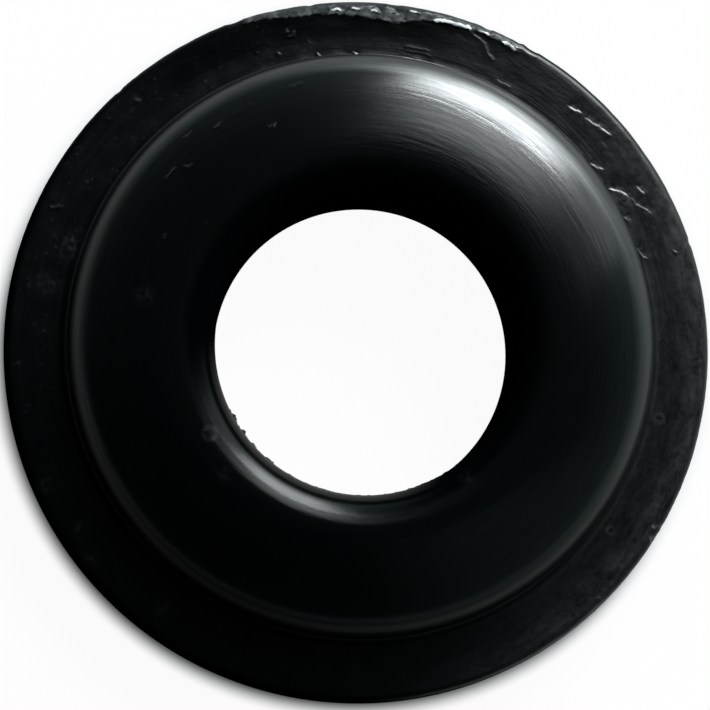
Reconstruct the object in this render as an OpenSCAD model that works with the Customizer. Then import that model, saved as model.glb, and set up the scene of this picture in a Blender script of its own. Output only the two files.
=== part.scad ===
// Domed tap washer, moulded in one piece.
// A flat ring rests on the valve plate. Its flange carries a low dome, and the hole is rolled in at the crest.
// The flat face lies on z = 0 and the hole runs along +Z. Sizes are in millimetres.

/* [Ring] */
// Outside diameter over the rim, without the moulding line
outer_d = 19; // [17:0.5:25]
// Diameter of the straight part of the hole
hole_d = 8; // [5:0.1:9]
// Radius that rolls the crest of the dome down into the hole
lip_r = 0.95; // [0.4:0.05:1.2]
// Radius that breaks the edge of the hole at the flat face
mouth_r = 0.15; // [0.05:0.05:0.3]

/* [Flange] */
// Thickness of the flange
flange_t = 1.6; // [1.4:0.05:2.2]
// Width of the flange, from the corner of the shoulder to the rim
flange_w = 1.7; // [1.4:0.05:2.4]
// Radius of the upper edge of the rim
rim_r = 0.2; // [0.1:0.05:0.7]
// Radius of the lower edge of the rim
foot_r = 0.3; // [0.1:0.05:0.4]
// How far the moulding line stands out of the rim
mould_line_r = 0.05; // [0.02:0.01:0.08]

/* [Dome] */
// Height of the shoulder corner above the flange
step_h = 0.9; // [0.7:0.05:1.4]
// Lean of the shoulder wall away from the upright, in degrees
wall_lean = 5; // [1:1:30]
// Radius that rounds the corner of the shoulder, as far as the wall has room for it
shoulder_r = 0.9; // [0.2:0.05:1.2]
// Radius of the hollow at the foot of the shoulder wall
root_r = 0.15; // [0.1:0.05:0.4]
// Rise of the dome from the shoulder corner to the crest
dome_rise = 0.7; // [0.3:0.05:1]

/* [Hidden] */
$fn = 180;
// Longest straight stretch that stands for a curve
chord = 0.09;
fewest_chords = 6;

outer_r = outer_d / 2;
hole_r = hole_d / 2;
height = flange_t + step_h + dome_rise;

// The moulding line runs round the middle of the upright part of the rim.
mould_line_z = (foot_r + flange_t - rim_r) / 2;

// The crest is a circle. The dome leaves it level and passes through the shoulder corner.
crest = [hole_r + lip_r, height];
corner = [outer_r - flange_w, flange_t + step_h];
dome_run = corner.x - crest.x;
dome_r = (dome_run ^ 2 + dome_rise ^ 2) / (2 * dome_rise);
dome_centre = crest - [0, dome_r];

// The shoulder wall runs down and out from the corner, and its face looks outwards.
wall_down = [sin(wall_lean), -cos(wall_lean)];
wall_out = [cos(wall_lean), sin(wall_lean)];

// The hollow and the rounded corner share the wall between them.
dome_slope = 2 * atan(dome_rise / dome_run);
wall_room = step_h / cos(wall_lean) - root_r * tan((90 - wall_lean) / 2);
round_r = min(shoulder_r, wall_room / tan((90 - wall_lean - dome_slope) / 2));

// The rounded corner touches the dome from inside and the wall from behind.
behind_wall = corner - round_r * wall_out;
from_dome = behind_wall - dome_centre;
along_wall = -(from_dome * wall_down);
short_of = along_wall ^ 2 - from_dome * from_dome + (dome_r - round_r) ^ 2;
shoulder_centre = behind_wall + (along_wall - sqrt(short_of)) * wall_down;
shoulder_angle = direction(shoulder_centre - dome_centre);

// The hollow touches the wall and the top of the flange.
before_wall = corner + root_r * wall_out;
root_drop = (before_wall.y - flange_t - root_r) / cos(wall_lean);
root_centre = before_wall + root_drop * wall_down;

function direction(v) = atan2(v.y, v.x);

// Points of an arc round a centre, from one angle to another, both ends included.
function arc(centre, r, from, to) =
    let (length = abs(to - from) * PI / 180 * r)
    let (n = max(fewest_chords, ceil(length / chord)))
    [for (i = [0:n]) let (a = from + (to - from) * i / n) centre + r * [cos(a), sin(a)]];

// Half of the washer's section, from the hole at the flat face, round the rim and over the dome.
function washer_section() = concat(
    arc([hole_r + mouth_r, mouth_r], mouth_r, 180, 270),
    arc([outer_r - foot_r, foot_r], foot_r, -90, 0),
    arc([outer_r, mould_line_z], mould_line_r, -90, 90),
    arc([outer_r - rim_r, flange_t - rim_r], rim_r, 0, 90),
    arc(root_centre, root_r, 270, 180 + wall_lean),
    arc(shoulder_centre, round_r, wall_lean, shoulder_angle),
    arc(dome_centre, dome_r, shoulder_angle, 90),
    arc(crest - [0, lip_r], lip_r, 90, 180)
);

module tap_washer() {
    color([0.06, 0.065, 0.07])
        rotate_extrude()
            polygon(washer_section());
}

tap_washer();
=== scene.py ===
# A worn tap washer of black moulded rubber on a pale floor.
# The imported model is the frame. The washer here has its section, with the marks of moulding and wear added.

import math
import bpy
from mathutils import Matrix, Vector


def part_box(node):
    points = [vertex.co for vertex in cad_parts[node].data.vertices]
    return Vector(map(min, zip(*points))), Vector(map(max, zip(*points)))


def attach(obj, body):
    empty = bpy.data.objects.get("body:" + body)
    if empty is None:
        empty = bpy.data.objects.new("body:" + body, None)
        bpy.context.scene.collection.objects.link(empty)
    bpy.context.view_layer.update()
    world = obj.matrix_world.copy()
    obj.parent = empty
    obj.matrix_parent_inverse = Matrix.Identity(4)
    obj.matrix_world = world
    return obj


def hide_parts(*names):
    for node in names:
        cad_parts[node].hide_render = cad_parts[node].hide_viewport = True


bl_info = {
    "name": "Tap Washer",
    "version": (1, 0, 0),
    "blender": (4, 5, 0),
    "location": "View3D > Sidebar > Tap Washer",
    "description": "Dresses a moulded rubber tap washer and lights it on a pale floor",
    "category": "Object",
}

from collections import namedtuple

import bpy
import numpy as np
from mathutils import Matrix, Vector, noise

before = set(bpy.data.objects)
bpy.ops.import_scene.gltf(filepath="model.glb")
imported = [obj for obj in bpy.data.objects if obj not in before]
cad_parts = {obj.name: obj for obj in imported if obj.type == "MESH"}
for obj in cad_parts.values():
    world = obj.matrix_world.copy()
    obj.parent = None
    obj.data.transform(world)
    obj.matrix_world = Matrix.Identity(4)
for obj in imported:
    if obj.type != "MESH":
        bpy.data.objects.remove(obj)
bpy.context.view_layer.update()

NODE = "tap_washer"
BODY = "root"
MM = 0.001
_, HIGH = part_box(NODE)

# Cells of the mesh round the washer, and how often each is split, both ways, where a mark lies.
TURNS = 400
SPLITS = 5
# Azimuths here are in degrees from +X towards +Y. This is the side that the window lights.
LIT_AZIMUTH = 60
RUBBER_IOR = 1.6
LAMP_DISTANCE = 0.6
# Width of the camera's film in mm, and the depths that it sees, in metres.
SENSOR = 36
NEAREST = 0.001
FARTHEST = 100


class WasherSection(bpy.types.PropertyGroup):
    """Sizes of the washer's section, as in the part's source."""

    hole_r: bpy.props.FloatProperty(
        name="Hole", description="Radius of the straight part of the hole",
        default=4.0 * MM, unit="LENGTH")
    lip_r: bpy.props.FloatProperty(
        name="Lip", description="Radius that rolls the crest down into the hole",
        default=0.95 * MM, unit="LENGTH")
    mouth_r: bpy.props.FloatProperty(
        name="Mouth", description="Radius of the hole's edge at the flat face",
        default=0.15 * MM, unit="LENGTH")
    flange_t: bpy.props.FloatProperty(
        name="Flange thickness", description="Thickness of the flange",
        default=1.6 * MM, unit="LENGTH")
    flange_w: bpy.props.FloatProperty(
        name="Flange width", description="From the corner of the shoulder to the rim",
        default=1.7 * MM, unit="LENGTH")
    rim_r: bpy.props.FloatProperty(
        name="Rim", description="Radius of the upper edge of the rim",
        default=0.2 * MM, unit="LENGTH")
    foot_r: bpy.props.FloatProperty(
        name="Foot", description="Radius of the lower edge of the rim",
        default=0.3 * MM, unit="LENGTH")
    mould_line_r: bpy.props.FloatProperty(
        name="Moulding line", description="How far the moulding line stands out of the rim",
        default=0.05 * MM, unit="LENGTH")
    step_h: bpy.props.FloatProperty(
        name="Step", description="Height of the shoulder corner above the flange",
        default=0.9 * MM, unit="LENGTH")
    wall_lean: bpy.props.FloatProperty(
        name="Wall lean", description="Lean of the shoulder wall away from the upright",
        default=math.radians(5), unit="ROTATION")
    shoulder_r: bpy.props.FloatProperty(
        name="Shoulder", description="Radius that rounds the corner of the shoulder",
        default=0.9 * MM, unit="LENGTH")
    root_r: bpy.props.FloatProperty(
        name="Root", description="Radius of the hollow at the foot of the shoulder wall",
        default=0.15 * MM, unit="LENGTH")


class WasherWear(bpy.types.PropertyGroup):
    """How far moulding and use have marked the washer."""

    burr: bpy.props.FloatProperty(
        name="Burrs", description="Scales the height of the nicks, the crumbs, the crack and the torn rim",
        default=1.0, min=0)
    waviness: bpy.props.FloatProperty(
        name="Waviness", description="Height of the slow waves of the flange",
        default=0.004 * MM, unit="LENGTH")
    droop: bpy.props.FloatProperty(
        name="Droop", description="How far the flange has sagged at the rim",
        default=0.06 * MM, unit="LENGTH")
    tatters: bpy.props.FloatProperty(
        name="Tatters", description="How far the flash in the hole stands out",
        default=0.09 * MM, unit="LENGTH")
    nibble: bpy.props.FloatProperty(
        name="Nibbles", description="Depth of the small bites out of the rim",
        default=0.05 * MM, unit="LENGTH")
    dome_shift: bpy.props.FloatVectorProperty(
        name="Dome off centre", description="How far the mould set the dome off the rim's centre",
        default=(0.083 * MM, 0.064 * MM), size=2, unit="LENGTH")
    hole_shift: bpy.props.FloatVectorProperty(
        name="Hole off centre", description="How far the mould set the hole off the rim's centre",
        default=(0.11 * MM, -0.06 * MM), size=2, unit="LENGTH")


class RubberFinish(bpy.types.PropertyGroup):
    """Colours and gloss of the rubber."""

    black: bpy.props.FloatVectorProperty(
        name="Rubber", description="Colour of the rubber",
        default=(0.0005, 0.0008, 0.0009), size=3, subtype="COLOR")
    # The dust colour also paints a sheen on the east flange and at the foot of the shoulder wall.
    dust_and_sheen: bpy.props.FloatVectorProperty(
        name="Dust", description="Colour of the dust and the dried drops",
        default=(0.0125, 0.0152, 0.0138), size=3, subtype="COLOR")
    scuffed: bpy.props.FloatVectorProperty(
        name="Scuffs", description="Colour of scuffed and torn rubber",
        default=(0.03, 0.034, 0.035), size=3, subtype="COLOR")
    # Painted highlight: the torn colour paints the glints on the wedges' faces and a painted sheen in patches
    # on the torn band.
    torn_highlight: bpy.props.FloatVectorProperty(
        name="Torn", description="Colour of the pale faces of the torn rim",
        default=(0.52, 0.55, 0.55), size=3, subtype="COLOR")
    dome_roughness: bpy.props.FloatProperty(
        name="Dome roughness", description="Roughness of the polished dome",
        default=0.15, min=0, max=1)
    flange_roughness: bpy.props.FloatProperty(
        name="Flange roughness", description="Roughness of the flange and the rim",
        default=0.21, min=0, max=1)


class WasherStage(bpy.types.PropertyGroup):
    """Where the camera stands and how large the floor is."""

    distance: bpy.props.FloatProperty(
        name="Distance", description="From the camera to the point it looks at",
        default=82.8 * MM, unit="LENGTH")
    azimuth: bpy.props.FloatProperty(
        name="Azimuth", description="Side on which the camera stands, from +X towards +Y",
        default=math.radians(239.5), unit="ROTATION")
    tilt: bpy.props.FloatProperty(
        name="Tilt", description="Lean of the view away from straight down",
        default=math.radians(7.48), unit="ROTATION")
    target: bpy.props.FloatVectorProperty(
        name="Target", description="Point on the floor that the camera looks at",
        default=(-0.012 * MM, -0.063 * MM), size=2, unit="LENGTH")
    picture: bpy.props.IntProperty(
        name="Picture", description="Width of the picture in pixels",
        default=710, min=1, subtype="PIXEL")
    px_per_mm: bpy.props.FloatProperty(
        name="Scale", description="Pixels of the picture to each millimetre at the target",
        default=36.504, min=1)
    floor: bpy.props.FloatProperty(
        name="Floor", description="Width of the floor",
        default=6.0, unit="LENGTH")
    floor_gap: bpy.props.FloatProperty(
        name="Gap", description="How far the floor lies below the washer",
        default=0.02 * MM, unit="LENGTH")


# Marks on the upper side. Each has a width, a height and the x and y of the points it runs through, in mm.
# A nick's steep face looks to the left of its run, so outwards where the run goes clockwise.
NICKS = (
    (0.05, 0.028, ((5.66, 6.65), (5.74, 6.58), (5.92, 6.49), (6.11, 6.41))),
    (0.045, 0.024, ((6.14, 6.35), (6.38, 6.14), (6.54, 6.08), (6.92, 5.81))),
    (0.04, 0.01, ((6.57, 5.67), (6.76, 5.48))),
    (0.035, 0.022, ((6.26, 5.08), (6.48, 4.93), (6.7, 4.89))),
    (0.045, 0.025, ((6.75, 4.36), (6.99, 4.32), (7.24, 4.2), (7.36, 4.08))),
    (0.05, 0.028, ((7.52, 4.46), (7.64, 4.36), (7.79, 4.19))),
    (0.035, 0.015, ((7.36, 4.14), (7.48, 4.03), (7.55, 3.94), (7.7, 3.86), (7.97, 3.67))),
    (0.04, 0.025, ((7.18, 3.63), (7.25, 3.56), (7.27, 3.45))),
    (0.035, 0.018, ((7.5, 2.73), (7.69, 2.54), (7.85, 2.42))),
    (0.04, 0.01, ((3.7, 7.34), (3.9, 7.25), (4.17, 7.12))),
    (0.05, 0.045, ((7.84, -4.8), (7.93, -4.83), (8.01, -4.92))),
    (0.05, 0.045, ((7.8, -5.1), (7.87, -5.12), (7.94, -5.22))),
)
# Raised crumbs and threads of rubber, given in the same way.
CRUMBS = (
    (0.04, 0.007, ((1.19, 8.24), (1.5, 8.21), (1.93, 8.1))),
    (0.04, 0.006, ((1.24, 8.1), (1.6, 8.07), (1.98, 7.95))),
    (0.05, 0.025, ((-2.86, 8.05), (-2.7, 7.94))),
    (0.05, 0.02, ((-2.32, 8.0), (-2.1, 7.93))),
    (0.04, 0.02, ((-1.42, 8.33), (-1.32, 8.27))),
    (0.05, 0.025, ((-1.24, 8.01), (-1.04, 7.9))),
    (0.06, 0.03, ((-0.26, 8.06), (-0.05, 7.94))),
    (0.06, 0.03, ((-2.08, 8.44), (-2.02, 8.55), (-2.0, 8.72))),
    (0.06, 0.03, ((-2.02, 8.42), (-1.85, 8.46), (-1.83, 8.66))),
    (0.04, 0.025, ((-4.91, 5.29), (-4.75, 5.39), (-4.59, 5.56))),
    (0.035, 0.03, ((-5.35, 4.15), (-5.2, 4.37), (-5.04, 4.56))),
    (0.05, 0.025, ((-4.86, 4.62), (-4.79, 4.53), (-4.66, 4.55), (-4.61, 4.66))),
    (0.04, 0.025, ((-4.12, 5.54), (-3.96, 5.65), (-3.83, 5.79))),
    (0.05, 0.02, ((-2.69, 5.66), (-2.58, 5.6), (-2.47, 5.68), (-2.45, 5.8))),
    (0.07, 0.01, ((-3.22, 6.21), (-2.95, 6.32))),
    (0.07, 0.01, ((-2.13, 6.71), (-1.59, 6.92))),
    (0.04, 0.02, ((-5.45, 2.57), (-5.34, 2.6), (-5.32, 2.78))),
    (0.06, 0.02, ((-4.35, 2.94), (-4.22, 3.1))),
    (0.06, 0.03, ((-8.34, 3.8), (-8.26, 3.7), (-8.12, 3.72), (-8.05, 3.83))),
    (0.07, 0.04, ((-6.13, 6.68), (-6.02, 6.63), (-5.92, 6.7))),
    (0.05, 0.03, ((-5.64, 7.14), (-5.53, 7.25))),
    (0.05, 0.02, ((-6.9, 6.13), (-6.68, 6.16))),
    (0.05, 0.02, ((-7.27, 5.66), (-7.11, 5.64))),
    (0.05, 0.02, ((-7.9, 4.4), (-7.74, 4.32))),
    (0.06, 0.03, ((-9.2, -0.66), (-9.12, -0.45))),
    (0.05, 0.02, ((-8.94, 2.25), (-8.81, 2.38))),
    (0.04, 0.025, ((8.51, 2.69), (8.7, 2.61))),
    (0.05, 0.02, ((6.34, -6.72), (6.59, -6.79))),
)
# Wedges along the torn rim whose faces catch the light, with painted highlights on them in the torn colour.
WEDGES = (
    (0.065, 0.035, ((1.9, 8.95), (2.2, 8.94), (2.48, 8.88), (2.75, 8.81), (3.0, 8.74), (3.18, 8.62))),
    (0.06, 0.03, ((3.16, 8.73), (3.4, 8.64), (3.68, 8.52))),
    (0.06, 0.03, ((3.76, 8.44), (4.1, 8.28), (4.42, 8.08))),
    (0.05, 0.03, ((-0.9, 9.2), (-0.6, 9.22), (-0.4, 9.12))),
    (0.05, 0.03, ((-0.34, 9.27), (0.12, 9.22))),
    (0.05, 0.025, ((0.2, 9.16), (0.4, 9.2), (0.62, 9.1))),
    (0.05, 0.02, ((0.88, 9.14), (1.22, 9.08))),
    (0.05, 0.03, ((1.28, 9.23), (1.7, 9.13))),
)
# Crack that runs in from the torn rim.
CRACK = (0.025, 0.012, ((2.94, 8.77), (3.02, 8.67), (3.21, 8.53), (3.43, 8.34), (3.51, 8.09), (3.68, 7.87)))
# Inner edge of the torn rim, from its left end to its right end.
TORN = (0.07, 0.05, (
    (-3.24, 8.76), (-2.65, 8.95), (-2.02, 8.97), (-1.62, 9.0), (-1.21, 9.1), (-0.8, 9.12), (-0.39, 9.09),
    (0.02, 9.07), (0.43, 8.99), (0.84, 8.91), (1.11, 8.89), (1.52, 8.95), (2.01, 8.94), (2.48, 8.85),
    (2.94, 8.75), (3.43, 8.62), (3.93, 8.38), (4.4, 8.1)))
# Height of a mark across its run, in widths to the left of the run and in heights.
NICK_PROFILE = ((-8, 0), (-0.1, 0.3), (0.6, -0.3), (3, -0.4), (12, 0))
CRUMB_PROFILE = ((-1.6, 0), (-0.2, 0.6), (0.6, 0), (2, 0))
WEDGE_PROFILE = ((-1, 0), (0, 0.8), (2, -0.3), (4, 0))
TORN_PROFILE = ((-3, 0), (-0.6, 0.1), (0, 0.35), (2.5, -0.15), (6, -1.1))

# A kind of mark: its profile, whether a longer mark reaches farther to its sides, how ragged it is, the size
# of its rags against those of a nick, how pale it leaves the rubber (above 1 the torn colour shows, as
# painted highlights on the wedges and a painted sheen on the torn band), and how far it scuffs the rubber and
# makes the mesh finer, both in widths to the right and to the left.
Kind = namedtuple("Kind", "marks profile fades ragged rags pale scuff_reach fine_reach")
KINDS = (
    Kind(NICKS + (CRACK,), NICK_PROFILE, True, 0.6, 1, 1, (1, 2.5), (2, 2.5)),
    Kind(CRUMBS, CRUMB_PROFILE, False, 0.5, 1, 1, (1, 1), (1.6, 1.2)),
    Kind(WEDGES, WEDGE_PROFILE, False, 0.3, 1, 5.5, (0.8, 2.0), (1.5, 3)),
    Kind((TORN,), TORN_PROFILE, False, 0.45, 1.6, 1.25, (0.5, 12), (2, 6)),
)
# Height of a mark, in mm, from which it scuffs the rubber in full.
FULL_SCUFF = 0.05
# Marks end over this many widths, and their scuffs over a few more.
TAPER = 2.5
SCUFF_TAPER = 4

# Bites out of the rim: azimuth in degrees, length in mm and depth as a share of the deepest.
NIBBLES = (
    (192, 0.25, 0.7), (198.8, 0.2, 0.5), (203.5, 0.3, 1), (207.4, 0.15, 0.6), (215.2, 0.3, 0.8),
    (219.5, 0.2, 1), (223.5, 0.2, 0.5), (237.4, 0.4, 0.5), (156, 0.2, 0.8), (166, 0.15, 0.6),
    (133, 0.2, 0.5), (327, 0.2, 1), (329.5, 0.15, 0.8), (312, 0.3, 0.5), (111, 0.5, 0.6),
    (98, 0.3, 0.8), (84, 0.4, 0.5), (68, 0.3, 0.6), (60, 0.5, 0.7), (18, 0.2, 0.5))
# Dried drops: x, y and radius of the ring, in mm.
DROPS = ((-4.03, -2.51, 0.17), (8.02, 0.31, 0.11), (6.77, -4.92, 0.1), (8.1, -1.92, 0.15))
# Smudges of dust: x, y and radius in mm.
SMUDGES = (
    (-7.72, 2.61, 0.6), (-8.3, 1.6, 0.5), (-5.75, 1.13, 0.35), (-8.37, -3.78, 0.3), (-7.43, -4.97, 0.3),
    (-7.1, -5.76, 0.3), (-5.16, -7.08, 0.4), (-6.04, 6.66, 0.2), (8.1, -1.9, 0.3), (7.1, 4.1, 0.5),
    (7.9, 3.75, 0.2), (-3.66, -3.58, 0.25), (2.73, -3.62, 0.25))

# Noises, as sums of parts. Each part has its strength, the size of its bumps in mm and its seed.
# How far a mark strays from its run, in widths.
STRAY = ((0.9, 0.13, 1), (0.3, 0.06, 9))
# How a mark's height varies, and how the edge of its scuff frays, in widths.
RAGS = ((1, 0.16, 2),)
FRAY = ((0.8, 0.12, 11),)
# Slow waves of the flange.
WAVES = ((1, 0.7, 3), (0.5, 0.25, 4))
# Rags of the flash in the hole and of the rim's edge.
FLASH_RAGS = ((1, 0.16, 5), (0.5, 0.06, 6))
RIM_RAGS = ((0.12, 0.3, 7), (0.06, 0.1, 8))

# Where the wear lies: heights and radii in mm and azimuths in degrees.
# Marks lie above the first height, and their scuffs reach down to the second.
MARKED_Z = 1.38
SCUFFED_Z = 1.2
WAVY_R = 7.95
# The flash lies on the hole's wall, within this radius and above this height.
WALL_R = 4.3
WALL_Z = 1.5
# It runs round the wall at one height, and it starts, thins out and ends over these azimuths.
FLASH_Z = 2.15
FLASH_THICK = 0.09
FLASH_STARTS = (196, 214)
FLASH_THINS = (222, 240)
FLASH_ENDS = (300, 335)
THINNED = 0.7
# The mesh is finer on this band of the hole's wall.
FINE_WALL_R = 4.2
FINE_WALL_Z = (1.9, 2.4)
FINE_WALL_AZIMUTH = (196, 330)
# The bites take the rim's upper edge, more and more over these radii and heights.
BITTEN_R = (9.2, 9.42)
BITTEN_Z = (0.9, 1.45)
# The flange sags from the foot of the step to the rim, least at one azimuth and by this share more or less.
SAG_R = (8, 9.4)
SAG_Z = (0.8, 1.4)
FIRM_AZIMUTH = 78
UNEVEN_SAG = 0.6
# The mould's offsets fade out between the hole and the dome and between the dome and the flange.
HOLE_END_R = (4.5, 6)
DOME_END_R = (7.7, 8.1)
DOME_FOOT_Z = (0, 0.5)


def arc(centre, radius, first, last, pitch):
    """A stretch of an arc: its points, about pitch apart, without the last one."""
    count = SPLITS * max(2, math.ceil(abs(last - first) * radius / pitch))
    angles = np.linspace(first, last, count, endpoint=False)
    return np.asarray(centre) + radius * np.stack((np.cos(angles), np.sin(angles)), axis=1)


def straight(start, end, pitch):
    """A straight stretch: its points, about pitch apart, without the last one."""
    count = SPLITS * max(1, math.ceil(math.dist(start, end) / pitch))
    return np.linspace(start, end, count, endpoint=False)


def on_circle(centre, radius, angle):
    """The point of a circle at an angle."""
    return np.asarray(centre) + radius * np.array((math.cos(angle), math.sin(angle)))


def washer_section(sizes):
    """The outline from the hole's lower edge, round the rim and over the dome, as radii and heights."""
    outer_r = HIGH.x - sizes.mould_line_r
    height = HIGH.z
    crest = np.array((sizes.hole_r + sizes.lip_r, height))
    corner = np.array((outer_r - sizes.flange_w, sizes.flange_t + sizes.step_h))
    run, rise = corner[0] - crest[0], crest[1] - corner[1]
    dome_r = (run * run + rise * rise) / (2 * rise)
    dome_centre = crest - (0, dome_r)
    down = np.array((math.sin(sizes.wall_lean), -math.cos(sizes.wall_lean)))
    out = np.array((math.cos(sizes.wall_lean), math.sin(sizes.wall_lean)))
    behind = corner - sizes.shoulder_r * out
    from_dome = behind - dome_centre
    along = -from_dome @ down
    short_of = along ** 2 - from_dome @ from_dome + (dome_r - sizes.shoulder_r) ** 2
    shoulder = behind + (along - math.sqrt(short_of)) * down
    shoulder_angle = math.atan2(*(shoulder - dome_centre)[::-1])
    before = corner + sizes.root_r * out
    root = before + (before[1] - sizes.flange_t - sizes.root_r) / math.cos(sizes.wall_lean) * down
    mould_line_z = (sizes.foot_r + sizes.flange_t - sizes.rim_r) / 2
    lean, quarter, half = sizes.wall_lean, math.pi / 2, math.pi
    fine, middle, coarse = 0.06 * MM, 0.11 * MM, 0.5 * MM
    # Each arc with the spacing of its points and of those on the straight stretch after it.
    arcs = (
        ((sizes.hole_r + sizes.mouth_r, sizes.mouth_r), sizes.mouth_r, half, half + quarter, fine, coarse),
        ((outer_r - sizes.foot_r, sizes.foot_r), sizes.foot_r, -quarter, 0, middle, middle),
        ((outer_r, mould_line_z), sizes.mould_line_r, -quarter, quarter, fine / 2, middle),
        ((outer_r - sizes.rim_r, sizes.flange_t - sizes.rim_r), sizes.rim_r, 0, quarter, fine, middle),
        (root, sizes.root_r, half + quarter, half + lean, fine, fine),
        (shoulder, sizes.shoulder_r, lean, shoulder_angle, fine, fine),
        (dome_centre, dome_r, shoulder_angle, quarter, middle, fine),
        (crest - (0, sizes.lip_r), sizes.lip_r, quarter, half, middle, 3 * middle),
    )
    rows = []
    for (centre, radius, first, last, pitch, next_pitch), following in zip(arcs, arcs[1:] + arcs[:1]):
        rows.append(arc(centre, radius, first, last, pitch))
        end = on_circle(centre, radius, last)
        start = on_circle(*following[:3])
        if math.dist(end, start) > fine / 10:
            rows.append(straight(end, start, next_pitch))
    return np.concatenate(rows)


def across(points, run):
    """Distance of points from a run, positive on its left, how far along it they lie, and its length."""
    run = np.asarray(run)
    lengths = np.linalg.norm(np.diff(run, axis=0), axis=1)
    starts = np.concatenate(((0,), np.cumsum(lengths)))
    best = np.full(len(points), np.inf)
    side = np.zeros(len(points))
    along = np.zeros(len(points))
    for a, b, length, start in zip(run[:-1], run[1:], lengths, starts):
        way = (b - a) / length
        offset = points - a
        place = np.clip(offset @ way, 0, length)
        distance = np.linalg.norm(offset - place[:, None] * way, axis=1)
        nearer = distance < best
        best[nearer] = distance[nearer]
        left = way[0] * offset[:, 1] - way[1] * offset[:, 0]
        side[nearer] = np.sign(left[nearer])
        along[nearer] = start + place[nearer]
    return best * side, along, starts[-1]


def ramp(values, low, high):
    """Rises smoothly from 0 at low to 1 at high."""
    t = np.clip((values - low) / (high - low), 0, 1)
    return t * t * (3 - 2 * t)


def grain(points, size, seed):
    """Smooth noise from -1 to 1 at points, with bumps of about one size."""
    shift = Vector((seed * 7.31, seed * 3.17, seed * 5.93))
    return np.array([noise.noise(Vector(p) / size + shift) for p in points])


def noises(points, parts, scale=1):
    """A sum of noises at points. Each part has its strength, the size of its bumps and its seed."""
    return sum(strength * grain(points, size * scale, seed) for strength, size, seed in parts)


def around(points, run, reach):
    """Numbers of the points in the box round a run, widened by a reach."""
    run = np.asarray(run)
    low, high = run.min(axis=0) - reach, run.max(axis=0) + reach
    return np.flatnonzero(np.all((points[:, :2] > low) & (points[:, :2] < high), axis=1))


def tapered(along, length, end):
    """1 along a run, falling smoothly to 0 at both of its ends."""
    return ramp(along, 0, end) * ramp(length - along, 0, end)


def raised(points, mark, kind):
    """Height of one mark at points on the upper side, in mm."""
    width, height, run = mark
    places, heights = zip(*kind.profile)
    reach = width * max(-places[0], places[-1]) + 2 * width
    result = np.zeros(len(points))
    close = around(points, run, reach)
    if not len(close):
        return result
    near = points[close]
    stray = width * noises(near, STRAY, kind.rags)
    side, along, length = across(near[:, :2], run)
    shape = np.interp((side + stray) / width, places, heights)
    if kind.fades:
        start, end = 0.35 * length + width, 0.9 * length + 2 * width
        shape *= 1 - ramp(np.abs(side), start, end)
    rags = 1 + kind.ragged * noises(near, RAGS, kind.rags)
    result[close] = height * shape * tapered(along, length, TAPER * width) * rags
    return result


def scuffed(points, mark, reach):
    """How much one mark has scuffed the rubber at points, from 0 to 1."""
    width, height, run = mark
    right, left = reach
    side, along, length = across(points[:, :2], run)
    side = side / width + noises(points, FRAY)
    fade = 1 - ramp(np.where(side < 0, -side / right, side / left), 0, 1)
    return min(1, height / FULL_SCUFF) * fade * tapered(along, length, SCUFF_TAPER * width)


def relief(points, wear):
    """How far the marks of moulding and wear lift the surface at points, in mm."""
    radius = np.hypot(points[:, 0], points[:, 1])
    upper = points[:, 2] > MARKED_Z
    lift = np.zeros(len(points))
    top = points[upper]
    for kind in KINDS:
        lift[upper] += wear.burr * sum(raised(top, mark, kind) for mark in kind.marks)
    on_flange = upper & (radius > WAVY_R)
    lift[on_flange] += wear.waviness / MM * noises(points[on_flange], WAVES)
    return lift


def scuffs_and_highlights(points):
    """How scuffed the rubber is at points, from 0 to 1, and above 1 where painted highlights and a painted
    sheen lie on the torn rim.
    """
    result = np.zeros(len(points))
    upper = np.flatnonzero(points[:, 2] > SCUFFED_Z)
    for kind in KINDS:
        for mark in kind.marks:
            width, _, run = mark
            close = upper[around(points[upper], run, width * max(kind.scuff_reach))]
            if len(close):
                scuff = kind.pale * scuffed(points[close], mark, kind.scuff_reach)
                result[close] = np.maximum(result[close], scuff)
    return result


def flash(points, azimuth, wear):
    """How far the flash in the hole and the rim's bites move the wall towards the axis, in mm."""
    radius = np.hypot(points[:, 0], points[:, 1])
    inward = np.zeros(len(points))
    usual, longest, drawn_out = 0.35, 1.4, (1, 1, 0.2)
    wall = (radius < WALL_R) & (points[:, 2] > WALL_Z)
    near, turn = points[wall], azimuth[wall]
    reach = ramp(turn, *FLASH_STARTS) * (1 - ramp(turn, *FLASH_ENDS))
    reach = reach * (1 - THINNED * ramp(turn, *FLASH_THINS))
    level = np.exp(-((near[:, 2] - FLASH_Z) / FLASH_THICK) ** 2)
    rags = np.clip(usual + noises(near * drawn_out, FLASH_RAGS), 0, longest)
    inward[wall] = wear.tatters / MM * reach * level * rags
    edge = (radius > BITTEN_R[0]) & (points[:, 2] > BITTEN_Z[0])
    near, turn = points[edge], azimuth[edge]
    bites = np.zeros(len(near))
    for place, length, depth in NIBBLES:
        away = np.radians(np.abs((turn - place + 180) % 360 - 180)) * radius[edge]
        bites = np.maximum(bites, depth * np.clip(1 - (away / (length / 2)) ** 2, 0, 1))
    top = ramp(near[:, 2], *BITTEN_Z) * ramp(radius[edge], *BITTEN_R)
    inward[edge] = wear.nibble / MM * top * (bites + noises(near, RIM_RAGS))
    return inward


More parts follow.
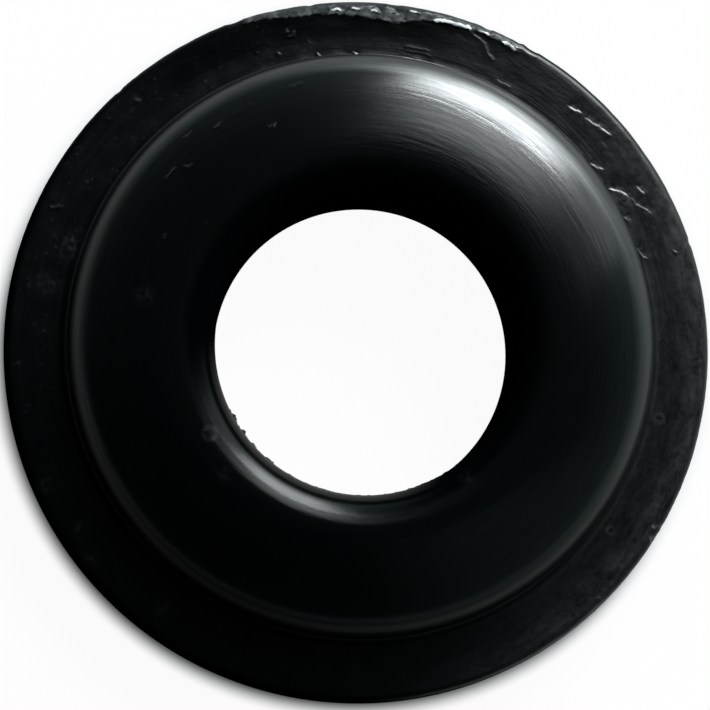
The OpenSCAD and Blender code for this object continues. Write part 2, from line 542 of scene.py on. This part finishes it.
def marked_cells(centres, azimuth):
    """Tells which cells of the mesh carry a mark and are split finer."""
    margin = 0.06
    radius = np.hypot(centres[:, 0], centres[:, 1])
    chosen = np.zeros(len(centres), dtype=bool)
    upper = np.flatnonzero(centres[:, 2] > MARKED_Z)
    for kind in KINDS:
        right, left = kind.fine_reach
        for width, _, run in kind.marks:
            side, _, _ = across(centres[upper, :2], run)
            chosen[upper[(side > -right * width - margin) & (side < left * width + margin)]] = True
    wall = (radius < FINE_WALL_R) & (centres[:, 2] > FINE_WALL_Z[0]) & (centres[:, 2] < FINE_WALL_Z[1])
    chosen |= wall & (azimuth > FINE_WALL_AZIMUTH[0]) & (azimuth < FINE_WALL_AZIMUTH[1])
    return chosen


def numbered_faces(fine, count, steps):
    """The grid points that the mesh uses and its faces, with the cells split where fine is true."""
    used = np.zeros((count, steps), dtype=bool)
    used[::SPLITS, ::SPLITS] = True
    fine_rows, fine_turns = np.nonzero(fine)
    for di in range(SPLITS + 1):
        for dj in range(SPLITS + 1):
            used[(fine_rows * SPLITS + di) % count, (fine_turns * SPLITS + dj) % steps] = True
    number = np.cumsum(used).reshape(used.shape) - 1

    def squares(i, j, step):
        i2, j2 = (i + step) % count, (j + step) % steps
        return np.stack((number[i, j], number[i, j2], number[i2, j2], number[i2, j]), axis=1).tolist()

    faces = []
    for di in range(SPLITS):
        for dj in range(SPLITS):
            faces += squares(fine_rows * SPLITS + di, fine_turns * SPLITS + dj, 1)
    beside = [np.roll(fine, shift, axis) for shift, axis in ((1, 0), (-1, 0), (1, 1), (-1, 1))]
    plain = ~fine & ~np.any(beside, axis=0)
    plain_rows, plain_turns = np.nonzero(plain)
    faces += squares(plain_rows * SPLITS, plain_turns * SPLITS, SPLITS)
    # A cell beside a finer one is a face with more corners.
    for row, turn in zip(*np.nonzero(~fine & ~plain)):
        i, j = row * SPLITS, turn * SPLITS
        ring = [(i, j + k) for k in range(SPLITS)]
        ring += [(i + k, j + SPLITS) for k in range(SPLITS)]
        ring += [(i + SPLITS, j + SPLITS - k) for k in range(SPLITS)]
        ring += [(i + SPLITS - k, j) for k in range(SPLITS)]
        ring = [(x % count, y % steps) for x, y in ring]
        faces.append([int(number[x, y]) for x, y in ring if used[x, y]])
    return used, faces


def worn(points, azimuth, out, wear):
    """The points of the plain washer, moved to where moulding and wear have left them."""
    turn = np.radians(azimuth)
    flat = points / MM
    radius = np.hypot(flat[:, 0], flat[:, 1])
    lift = relief(flat, wear) * MM
    outward = out[:, 0] * lift - flash(flat, azimuth, wear) * MM
    sag = wear.droop * (1 - UNEVEN_SAG * np.cos(turn - math.radians(FIRM_AZIMUTH)))
    start, end = SAG_R
    sag = sag * np.clip((radius - start) / (end - start), 0, 1) * ramp(flat[:, 2], *SAG_Z)
    in_hole = 1 - ramp(radius, *HOLE_END_R)
    on_dome = (1 - ramp(radius, *DOME_END_R)) * ramp(flat[:, 2], *DOME_FOOT_Z) * (1 - in_hole)
    shift = np.outer(on_dome, wear.dome_shift) + np.outer(in_hole, wear.hole_shift)
    moved = np.stack((np.cos(turn) * outward, np.sin(turn) * outward, out[:, 1] * lift - sag), axis=1)
    moved[:, :2] += shift
    return points + moved


def washer_mesh(name, sizes, wear, turns):
    """The whole washer as one closed mesh, finer where the marks lie."""
    rows = washer_section(sizes)
    count, steps = len(rows), turns * SPLITS
    base = count // SPLITS
    tangent = np.roll(rows, -1, axis=0) - np.roll(rows, 1, axis=0)
    tangent /= np.linalg.norm(tangent, axis=1)[:, None]
    normals = np.stack((tangent[:, 1], -tangent[:, 0]), axis=1)

    def places(i, j):
        angle = 2 * math.pi * j / steps
        r, z = rows[i, 0], rows[i, 1]
        return np.stack((r * np.cos(angle), r * np.sin(angle), z), axis=-1), np.degrees(angle) % 360

    half = SPLITS // 2
    row, turn = np.meshgrid(np.arange(base), np.arange(turns), indexing="ij")
    centres, azimuth = places(row.ravel() * SPLITS + half, turn.ravel() * SPLITS + half)
    fine = marked_cells(centres / MM, azimuth).reshape(base, turns)
    used, faces = numbered_faces(fine, count, steps)
    i, j = np.nonzero(used)
    points, azimuth = places(i, j)
    mesh = bpy.data.meshes.new(name)
    mesh.from_pydata(worn(points, azimuth, normals[i], wear).tolist(), [], faces)
    # The attribute carries the scuffs, and above 1 the painted highlights and painted sheen of the torn rim.
    mesh.attributes.new("scuff", "FLOAT", "POINT").data.foreach_set("value", scuffs_and_highlights(points / MM))
    mesh.shade_smooth()
    mesh.update()
    return mesh


class Value:
    """A socket in a node tree. Sums on it add their Math nodes to the tree."""

    def __init__(self, tree, socket):
        self.tree = tree
        self.socket = socket

    def math(self, operation, *others):
        return self.tree.math(operation, self, *others)

    def __add__(self, other):
        return self.tree.math("ADD", self, other)

    def __sub__(self, other):
        return self.tree.math("SUBTRACT", self, other)

    def __rsub__(self, other):
        return self.tree.math("SUBTRACT", other, self)

    def __mul__(self, other):
        return self.tree.math("MULTIPLY", self, other)

    def __truediv__(self, other):
        return self.tree.math("DIVIDE", self, other)

    def __pow__(self, other):
        return self.tree.math("POWER", self, other)

    __radd__ = __add__
    __rmul__ = __mul__


class Tree:
    """The node tree of a material, a lamp or the world."""

    def __init__(self, owner):
        owner.use_nodes = True
        self.nodes = owner.node_tree.nodes
        self.links = owner.node_tree.links
        self.nodes.clear()

    def node(self, kind, settings=None, sockets=None):
        """A node of any kind. Its settings come first, then values or links for its sockets."""
        made = self.nodes.new(kind)
        for name, setting in (settings or {}).items():
            setattr(made, name, setting)
        for name, value in (sockets or {}).items():
            if isinstance(value, Value):
                self.links.new(value.socket, made.inputs[name])
            else:
                made.inputs[name].default_value = value
        return made

    def value(self, kind, settings=None, sockets=None, output=0):
        """One output of a new node."""
        return Value(self, self.node(kind, settings, sockets).outputs[output])

    def math(self, operation, *inputs):
        """A sum or another operation on values."""
        return self.value("ShaderNodeMath", {"operation": operation}, dict(enumerate(inputs)))

    def step(self, value, low, high):
        """Rises smoothly from 0 at low to 1 at high."""
        smooth = {"interpolation_type": "SMOOTHSTEP"}
        return self.value("ShaderNodeMapRange", smooth, {0: value, 1: low, 2: high})

    def parts(self, vector):
        """The x, y and z of a vector."""
        apart = self.node("ShaderNodeSeparateXYZ", None, {0: vector})
        return [Value(self, output) for output in apart.outputs]

    def noise(self, vector, scale, detail, roughness=0.5):
        """Noise from 0 to 1."""
        return self.value("ShaderNodeTexNoise", None, {
            "Vector": vector, "Scale": scale, "Detail": detail, "Roughness": roughness})

    def blend(self, factor, first, second):
        """A colour between two others."""
        return self.value("ShaderNodeMix", {"data_type": "RGBA"}, {0: factor, 6: first, 7: second}, output=2)


def aligned(x, y, azimuth):
    """How far x and y reach towards an azimuth in degrees."""
    turn = math.radians(azimuth)
    return x * math.cos(turn) + y * math.sin(turn)


class Surface:
    """What the look of the rubber depends on at a point of the washer. Lengths are in mm."""

    def __init__(self, tree):
        self.tree = tree
        place = tree.value("ShaderNodeTexCoord", output="Object")
        place = tree.value("ShaderNodeVectorMath", {"operation": "SCALE"}, {0: place, "Scale": 1 / MM})
        self.x, self.y, z = tree.parts(place)
        self.radius = (self.x * self.x + self.y * self.y).math("SQRT")
        self.across_x, self.across_y = self.x / self.radius, self.y / self.radius
        self.outwards = self.radius - z
        self.lit = self.toward(LIT_AZIMUTH)
        self.east = tree.step(self.toward(-15), 0.25, 0.9)

        # The parts of the section, from 0 to 1 between two radii.
        self.shoulder = self.beyond(7.2, 7.5)
        self.flange = self.beyond(7.85, 8.0)
        self.hole = 1 - self.beyond(4.55, 4.95 + 0.1 * tree.step(self.lit, -0.3, 0.5))
        self.side = self.beyond(9.25, 9.4)

        # Noises, and the scuffs that the mesh carries, with the painted highlights and sheen of the torn rim.
        self.rings = self.drawn_out(8, 5, 3.0, 0.6)
        self.mottle = self.drawn_out(4, 13, 5.0, 0.62)
        self.skin = tree.noise(place, 5.0, 4.0, 0.6)
        self.slow = tree.noise(place, 1.3, 2.0)
        self.specks = tree.noise(place, 8.0, 3.0, 0.6)
        self.scuff = tree.value("ShaderNodeAttribute", {"attribute_name": "scuff"}, output=2)

    def toward(self, azimuth):
        """How far the point lies on the side of an azimuth, from -1 to 1."""
        return aligned(self.across_x, self.across_y, azimuth)

    def beyond(self, inner, outer):
        """0 inside one radius and 1 outside another."""
        return self.tree.step(self.radius, inner, outer)

    def distance(self, x, y):
        """Distance from a place on the washer, seen from above."""
        return ((self.x - x) ** 2 + (self.y - y) ** 2).math("SQRT")

    def drawn_out(self, fineness, turns, detail, roughness):
        """Noise drawn out round the axis: its fineness across the rings, and round them."""
        sockets = {0: self.outwards * fineness, 1: self.across_x * turns, 2: self.across_y * turns}
        vector = self.tree.value("ShaderNodeCombineXYZ", None, sockets)
        return self.tree.noise(vector, 1.0, detail, roughness)


def skin_bump(surface):
    """Fine rings from the mould's turned face and the grain of the skin. Depths are in mm."""
    ring_depth, lost_on_flange, more_at_foot = 0.0045, 0.0025, 0.005
    skin_depth, mottle_depth, speck_depth = 0.003, 0.005, 0.0006
    flange = surface.flange
    foot = flange * (1 - surface.beyond(8.1, 8.5))
    rings = surface.rings * (ring_depth - flange * lost_on_flange + foot * more_at_foot)
    height = rings + flange * (surface.skin * skin_depth + surface.mottle * mottle_depth)
    height = height + surface.specks * speck_depth
    return surface.tree.value("ShaderNodeBump", None, {"Strength": 1.0, "Distance": MM, "Height": height})


def dust_and_sheen_cover(surface):
    """How much dust, smudges and dried drops cover the rubber, from 0 to 1, with a painted sheen in the dust
    on the east flange and at the foot of the shoulder wall.
    """
    least_east, more_at_rim, at_foot, on_west = 0.5, 0.9, 0.25, 0.3
    in_smudge, spread = 0.3, 1.2
    in_drop, drop_patches, band_inside, band_outside = 0.15, 0.35, 0.12, 0.1
    tree, specks, flange, east = surface.tree, surface.specks, surface.flange, surface.east
    west = tree.step(surface.toward(150), 0.3, 0.9)
    patchy = (surface.mottle + specks * 0.5 - 0.49).math("MAXIMUM", 0)
    # Dust on the east flange, heavier towards the rim, which also stands as a painted sheen there.
    dust_and_sheen = flange * east * patchy * (least_east + more_at_rim * surface.beyond(8.5, 9.3))
    # Painted sheen in the dust colour at the foot of the shoulder wall on the east side.
    dust_and_sheen = dust_and_sheen + east * at_foot * surface.beyond(7.6, 7.9) * (1 - surface.beyond(8.0, 8.2))
    spots = tree.step(specks, 0.55, 0.75) * tree.step(surface.slow, 0.4, 0.6)
    dust_and_sheen = dust_and_sheen + flange * west * spots * on_west
    for x, y, radius in SMUDGES:
        smudge = 1 - tree.step(surface.distance(x, y), 0, spread * radius)
        dust_and_sheen = dust_and_sheen + smudge * tree.step(specks, 0.35, 0.65) * in_smudge
    for x, y, radius in DROPS:
        away = surface.distance(x, y)
        band = tree.step(away, radius - band_inside, radius)
        band = band * (1 - tree.step(away, radius, radius + band_outside))
        patches = in_drop + drop_patches * tree.step(surface.skin, 0.35, 0.65)
        dust_and_sheen = dust_and_sheen.math("MAXIMUM", band * patches)
    return dust_and_sheen


def rubber_colour(surface, finish, dust_and_sheen):
    """Black under dust and painted sheen, grey where it is scuffed, with painted highlights in the torn
    colour on the wedges' faces and a painted sheen in patches on the torn band.
    """
    most_scuffed, band_least, band_patches = 0.7, 0.02, 0.5
    tree, scuff = surface.tree, surface.scuff
    colour = tree.blend(dust_and_sheen, (*finish.black, 1), (*finish.dust_and_sheen, 1))
    colour = tree.blend(scuff.math("MINIMUM", 1) * most_scuffed, colour, (*finish.scuffed, 1))
    # Painted highlights on the wedges' faces.
    faces = tree.step(scuff, 1.6, 2.6)
    # Painted sheen in patches on the torn band.
    band = tree.step(scuff, 0.9, 2.0) * (band_least + band_patches * tree.step(surface.skin, 0.44, 0.6))
    return tree.blend(faces.math("MAXIMUM", band), colour, (*finish.torn_highlight, 1))


def gloss_roughness(surface, finish, dust_and_sheen):
    """Polished on the dome, duller on the shoulder, the flange, dust and scuffs."""
    on_shoulder, in_hole, on_dust, on_scuff, sway = 0.2, 0.04, 0.3, 0.06, 0.1
    flange = surface.flange
    rough = finish.dome_roughness + surface.shoulder * on_shoulder
    rough = rough + flange * (finish.flange_roughness - finish.dome_roughness - on_shoulder)
    rough = rough + surface.hole * in_hole + flange * (surface.slow - 0.5) * sway
    return rough + dust_and_sheen * on_dust + surface.scuff * on_scuff + (surface.rings - 0.5) * sway


def matt_and_shade_share(surface):
    """How much of the rubber is matt, from 0 to 1: in the hole, on the steep walls and where it is worn, and
    as painted shade, more on the side away from the light, where it dulls the reflections.
    """
    tree, lit, scuff, flange = surface.tree, surface.lit, surface.scuff, surface.flange
    shaded = 0.5 - lit * 0.5
    before_flange = 1 - surface.beyond(8.0, 8.1)
    in_hole = surface.hole * (0.75 + 0.25 * tree.step(lit, -0.95, -0.45))
    # Painted shade: the shoulder wall is matt on the side away from the light.
    painted_shade_wall = surface.beyond(7.3, 7.75 - shaded * 0.25) * before_flange * 0.93 * shaded
    at_foot = surface.east * 0.85 * surface.beyond(7.82, 7.92) * before_flange
    # Painted shade: the rim's side is more matt away from the light.
    painted_shade_rim_side = 0.2 * surface.beyond(9.3, 9.42) * (1 - tree.step(lit, -0.2, 0.6))
    on_side = surface.side * (0.8 - 0.4 * surface.east + painted_shade_rim_side)
    brushed = 0.25 * (1 - flange) * (1 - surface.hole) * tree.step(surface.rings, 0.35, 0.65)
    on_torn = 0.85 * tree.step(scuff, 0.8, 1.2) * (1 - tree.step(scuff, 1.5, 2.5))
    on_north = 0.68 * flange * surface.beyond(8.2, 8.7) * tree.step(surface.toward(100), 0.8, 0.96)
    # Painted shade: the dome and the flange are duller on the side away from the light.
    painted_shade_far_side = 0.45 * (1 - tree.step(lit, -0.8, -0.35)) * surface.beyond(5.2, 5.6)
    painted_shade_far_side = painted_shade_far_side * (1 - surface.shoulder * (1 - flange))
    share = in_hole
    for place in (painted_shade_wall, at_foot, on_side, brushed, on_torn, on_north, painted_shade_far_side):
        share = share.math("MAXIMUM", place)
    return share


def rubber(finish):
    """Black rubber, polished on the dome, duller on the flange and matt in the hole."""
    material = bpy.data.materials.new("black_rubber")
    tree = Tree(material)
    surface = Surface(tree)
    dust_and_sheen = dust_and_sheen_cover(surface)
    colour = rubber_colour(surface, finish, dust_and_sheen)
    shade = tree.value("ShaderNodeBsdfPrincipled", None, {
        "Base Color": colour, "Roughness": gloss_roughness(surface, finish, dust_and_sheen), "IOR": RUBBER_IOR,
        "Normal": skin_bump(surface), "Specular Tint": (0.95, 1.0, 1.0, 1)})
    matt = tree.value("ShaderNodeBsdfPrincipled", None, {
        "Base Color": colour, "Roughness": 0.7, "Specular IOR Level": 0.0, "IOR": RUBBER_IOR})
    both = tree.value("ShaderNodeMixShader", None, {0: matt_and_shade_share(surface), 1: shade, 2: matt})
    tree.node("ShaderNodeOutputMaterial", None, {"Surface": both})
    return material


class WASHER_OT_washer(bpy.types.Operator):
    """Build the washer over its solid"""

    bl_idname = "tap_washer.washer"
    bl_label = "Washer"

    def execute(self, context):
        scene = context.scene
        mesh = washer_mesh("washer", scene.washer_section, scene.washer_wear, TURNS)
        washer = bpy.data.objects.new("washer", mesh)
        scene.collection.objects.link(washer)
        mesh.materials.append(rubber(scene.rubber_finish))
        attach(washer, BODY)
        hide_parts(NODE)
        return {"FINISHED"}


def toward(azimuth, elevation):
    """The unit vector that points at an azimuth from +X towards +Y and an elevation, in degrees."""
    a, e = math.radians(azimuth), math.radians(elevation)
    return Vector((math.cos(e) * math.cos(a), math.cos(e) * math.sin(a), math.sin(e)))


def facing(place, target, up=Vector((0, 1, 0))):
    """A placement at a point that looks at a target, with up as near the picture's top as it can be."""
    back = (place - target).normalized()
    right = up.cross(back).normalized()
    turn = Matrix((right, back.cross(right), back)).transposed().to_4x4()
    return Matrix.Translation(place) @ turn


def set_camera(scene, stage):
    """The camera that looks down at the washer, a little aslant."""
    target = Vector((*stage.target, 0))
    aim = toward(math.degrees(stage.azimuth), 90 - math.degrees(stage.tilt))
    data = bpy.data.cameras.new("camera")
    data.sensor_width = SENSOR
    data.lens = SENSOR * stage.distance / (stage.picture / stage.px_per_mm * MM)
    data.clip_start = NEAREST
    data.clip_end = FARTHEST
    camera = bpy.data.objects.new("camera", data)
    camera.matrix_world = facing(target + stage.distance * aim, target)
    scene.collection.objects.link(camera)
    scene.camera = camera


def lay_floor(scene, stage):
    """A pale floor just below the washer. It keeps a shadow and looks white in the picture and in gloss."""
    material = bpy.data.materials.new("floor")
    tree = Tree(material)
    path = tree.node("ShaderNodeLightPath")
    seen = Value(tree, path.outputs["Is Camera Ray"])
    for ray in ("Is Glossy Ray", "Is Transmission Ray"):
        seen = seen.math("MAXIMUM", Value(tree, path.outputs[ray]))
    paper = tree.value("ShaderNodeBsdfDiffuse", None, {"Color": (0.85, 0.85, 0.85, 1)})
    white = tree.value("ShaderNodeEmission", None, {"Color": (1, 1, 1, 1), "Strength": 1.0})
    x, y, _ = tree.parts(tree.value("ShaderNodeTexCoord", output="Object"))
    away = (x * x + y * y).math("SQRT") / MM
    # The rim's own shadow is kept in full.
    at_rim = tree.step(away, 8.5, 9.2) * (1 - tree.step(away, 9.45, 10.05))
    both = tree.value("ShaderNodeMixShader", None, {0: seen * 0.95 * (1 - at_rim), 1: paper, 2: white})
    tree.node("ShaderNodeOutputMaterial", None, {"Surface": both})

    half = stage.floor / 2
    mesh = bpy.data.meshes.new("floor")
    corners = [(-half, -half, 0), (half, -half, 0), (half, half, 0), (-half, half, 0)]
    mesh.from_pydata(corners, [], [(0, 1, 2, 3)])
    mesh.materials.append(material)
    floor = bpy.data.objects.new("floor", mesh)
    floor.location.z = -stage.floor_gap
    scene.collection.objects.link(floor)


def window_rise(tree, height):
    """Light of the window over its height, which goes from 0 to 1."""
    return 0.15 + 0.85 * tree.step(height, 0, 0.6)


def panel_rise(tree, height):
    """Light of the panel over the window, brightest at its foot."""
    return 0.07 + 0.97 * tree.step(1 - height, -0.05, 0.7)


def side_rise(tree, height):
    """Light of the side lamp, weaker in its upper part."""
    return (1 - 0.8 * tree.step(height, 0.58, 0.74)) * (1 - tree.step(height, 0.85, 1))


# Soft lamps: the azimuth, the lowest and highest elevation and half the width, in degrees, how much narrower
# the top is than the foot, the radiance, the share of the width over which both sides fade, and the rise.
Lamp = namedtuple("Lamp", "name azimuth low high half_width narrowing radiance fade rise")
LAMPS = (
    Lamp("window", 60.5, 3, 43.2, 18, 0.1, 23, 0.27, window_rise),
    Lamp("panel", 60.5, 42.5, 71, 22.5, 1.6, 3.8, 0.4, panel_rise),
    Lamp("side", 34, 8, 66, 14.9, 1.43, 1.2, 0.2, side_rise),
)


def hang_lamp(scene, lamp):
    """One soft lamp. Its light fades at both sides and follows its rise over its height."""
    middle, half = (lamp.low + lamp.high) / 2, (lamp.high - lamp.low) / 2
    data = bpy.data.lights.new(lamp.name, "AREA")
    data.shape = "RECTANGLE"
    data.size = 2 * LAMP_DISTANCE * math.tan(math.radians(lamp.half_width))
    data.size_y = 2 * LAMP_DISTANCE * math.tan(math.radians(half))
    data.energy = lamp.radiance * math.pi * data.size * data.size_y
    thing = bpy.data.objects.new(lamp.name, data)
    thing.matrix_world = facing(LAMP_DISTANCE * toward(lamp.azimuth, middle), Vector(), Vector((0, 0, 1)))
    scene.collection.objects.link(thing)
    tree = Tree(data)
    u, v, _ = tree.parts(tree.value("ShaderNodeTexCoord", output="UV"))
    sideways = (u - 0.5).math("ABSOLUTE") * 2 * (1 + v * lamp.narrowing)
    sides = 1 - tree.step(sideways, 1 - 2 * lamp.fade, 1)
    light = tree.value("ShaderNodeEmission", None, {
        "Color": (0.99, 1.0, 1.03, 1), "Strength": sides * lamp.rise(tree, v)})
    tree.node("ShaderNodeOutputLight", None, {0: light})


def light_room(scene):
    """The dim room round the washer, brighter low down on the window's side, with a pale patch overhead."""
    bright_azimuth, brightness, contrast = 48, 0.42, 1.35
    back_azimuth, back_light = 305, 0.15
    ahead_azimuth, overhead_light = 75, 0.02
    patch_azimuth, patch_light = 315, 0.085
    dark, lowness = 0.003, 1.9
    world = bpy.data.worlds.new("room")
    scene.world = world
    tree = Tree(world)
    x, y, z = tree.parts(tree.value("ShaderNodeTexCoord", output="Generated"))
    level = (x * x + y * y + 0.0001).math("SQRT")
    soft_level = (x * x + y * y + 0.01).math("SQRT")
    ahead = tree.step(aligned(x, y, ahead_azimuth) / soft_level, -0.7, 0.2)
    patch = tree.step(aligned(x, y, patch_azimuth) / soft_level, 0.76, 0.95) * z * z
    overhead = dark + overhead_light * ahead + patch_light * patch
    walls = brightness * (aligned(x, y, bright_azimuth) / level * contrast).math("EXPONENT")
    walls = walls + back_light * tree.step(aligned(x, y, back_azimuth) / level, 0.5, 1.0)
    low = 1 - z.math("MAXIMUM", 0)
    room = {"Color": (0.75, 1.0, 1.0, 1), "Strength": walls * low ** lowness + overhead}
    tree.node("ShaderNodeOutputWorld", None, {"Surface": tree.value("ShaderNodeBackground", None, room)})


class WASHER_OT_stage(bpy.types.Operator):
    """Set up the floor, the lights and the camera"""

    bl_idname = "tap_washer.stage"
    bl_label = "Stage"

    def execute(self, context):
        scene = context.scene
        set_camera(scene, scene.washer_stage)
        lay_floor(scene, scene.washer_stage)
        for lamp in LAMPS:
            hang_lamp(scene, lamp)
        light_room(scene)
        scene.view_settings.view_transform = "Standard"
        return {"FINISHED"}


class WASHER_PT_panel(bpy.types.Panel):
    """Buttons that build the washer and its stage"""

    bl_label = "Tap Washer"
    bl_idname = "WASHER_PT_panel"
    bl_space_type = "VIEW_3D"
    bl_region_type = "UI"
    bl_category = "Tap Washer"

    def draw(self, context):
        self.layout.operator(WASHER_OT_washer.bl_idname)
        self.layout.operator(WASHER_OT_stage.bl_idname)


GROUPS = {
    "washer_section": WasherSection,
    "washer_wear": WasherWear,
    "rubber_finish": RubberFinish,
    "washer_stage": WasherStage,
}
CLASSES = (*GROUPS.values(), WASHER_OT_washer, WASHER_OT_stage, WASHER_PT_panel)


def register():
    for cls in CLASSES:
        bpy.utils.register_class(cls)
    for name, group in GROUPS.items():
        setattr(bpy.types.Scene, name, bpy.props.PointerProperty(type=group))


def unregister():
    for name in GROUPS:
        delattr(bpy.types.Scene, name)
    for cls in reversed(CLASSES):
        bpy.utils.unregister_class(cls)


def main():
    register()
    bpy.ops.tap_washer.stage()
    bpy.ops.tap_washer.washer()


if __name__ == "__main__":
    main()
